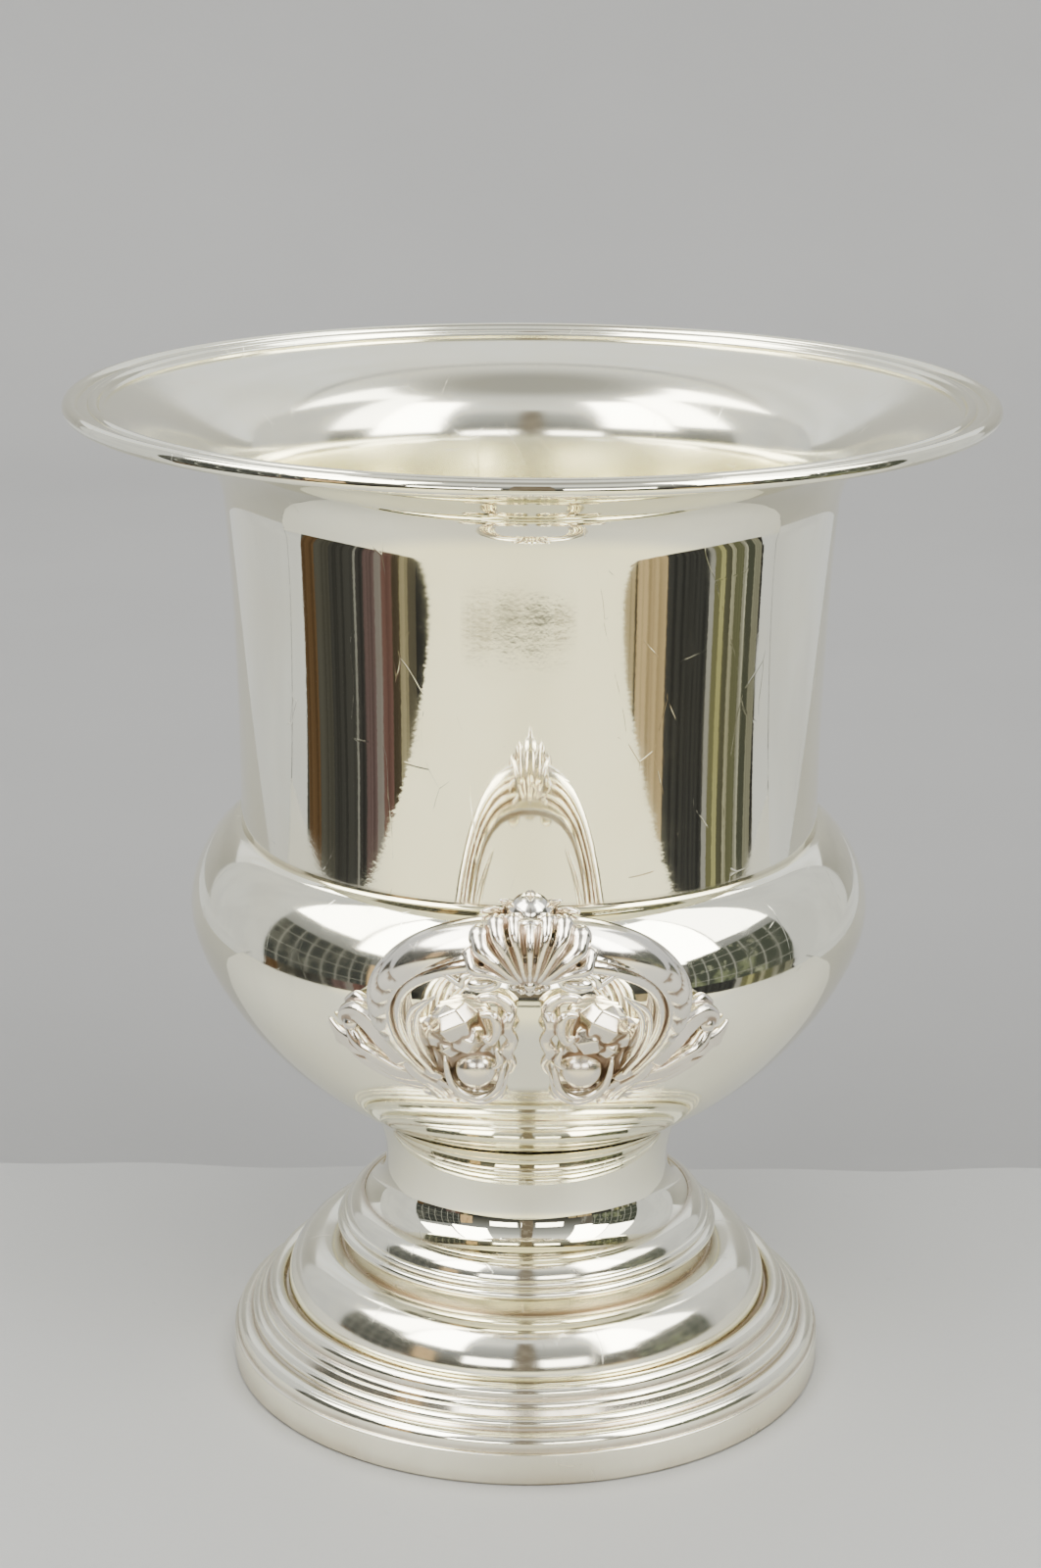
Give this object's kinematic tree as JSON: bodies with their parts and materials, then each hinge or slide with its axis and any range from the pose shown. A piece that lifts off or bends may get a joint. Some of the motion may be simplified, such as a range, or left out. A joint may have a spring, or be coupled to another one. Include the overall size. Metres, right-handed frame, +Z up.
{
  "type": "footed champagne bucket",
  "caption": "Footed urn-shaped champagne bucket with a flared reeded lip, a bulged lower bowl, a moulded round foot and fixed cast leaf-and-shell handles.",
  "frame": {"origin": "on the table, under the centre of the foot", "axes": "+Z up the bucket's axis; +Y and -Y point at the two handles; +X to the side"},
  "size_m": [0.2303, 0.2702, 0.259],
  "materials": {
    "body": "polished",
    "rim": "polished",
    "foot": "polished",
    "castings": "worn polish"
  },
  "bodies": {
    "root": {"rim_moulding": "rim", "upper_body": "body", "lower_bowl": "body", "stem": "foot", "stem_collar": "foot", "foot_dome": "foot", "foot_base": "foot", "front_loop": "castings", "front_shell": "castings", "front_pearl": "castings", "front_back_leaf": "castings", "front_foot_leaf_left": "castings", "front_foot_leaf_right": "castings", "front_side_leaf_left": "castings", "front_side_leaf_right": "castings", "rear_loop": "castings", "rear_shell": "castings", "rear_pearl": "castings", "rear_back_leaf": "castings", "rear_foot_leaf_left": "castings", "rear_foot_leaf_right": "castings", "rear_side_leaf_left": "castings", "rear_side_leaf_right": "castings"}
  },
  "joints": []
}
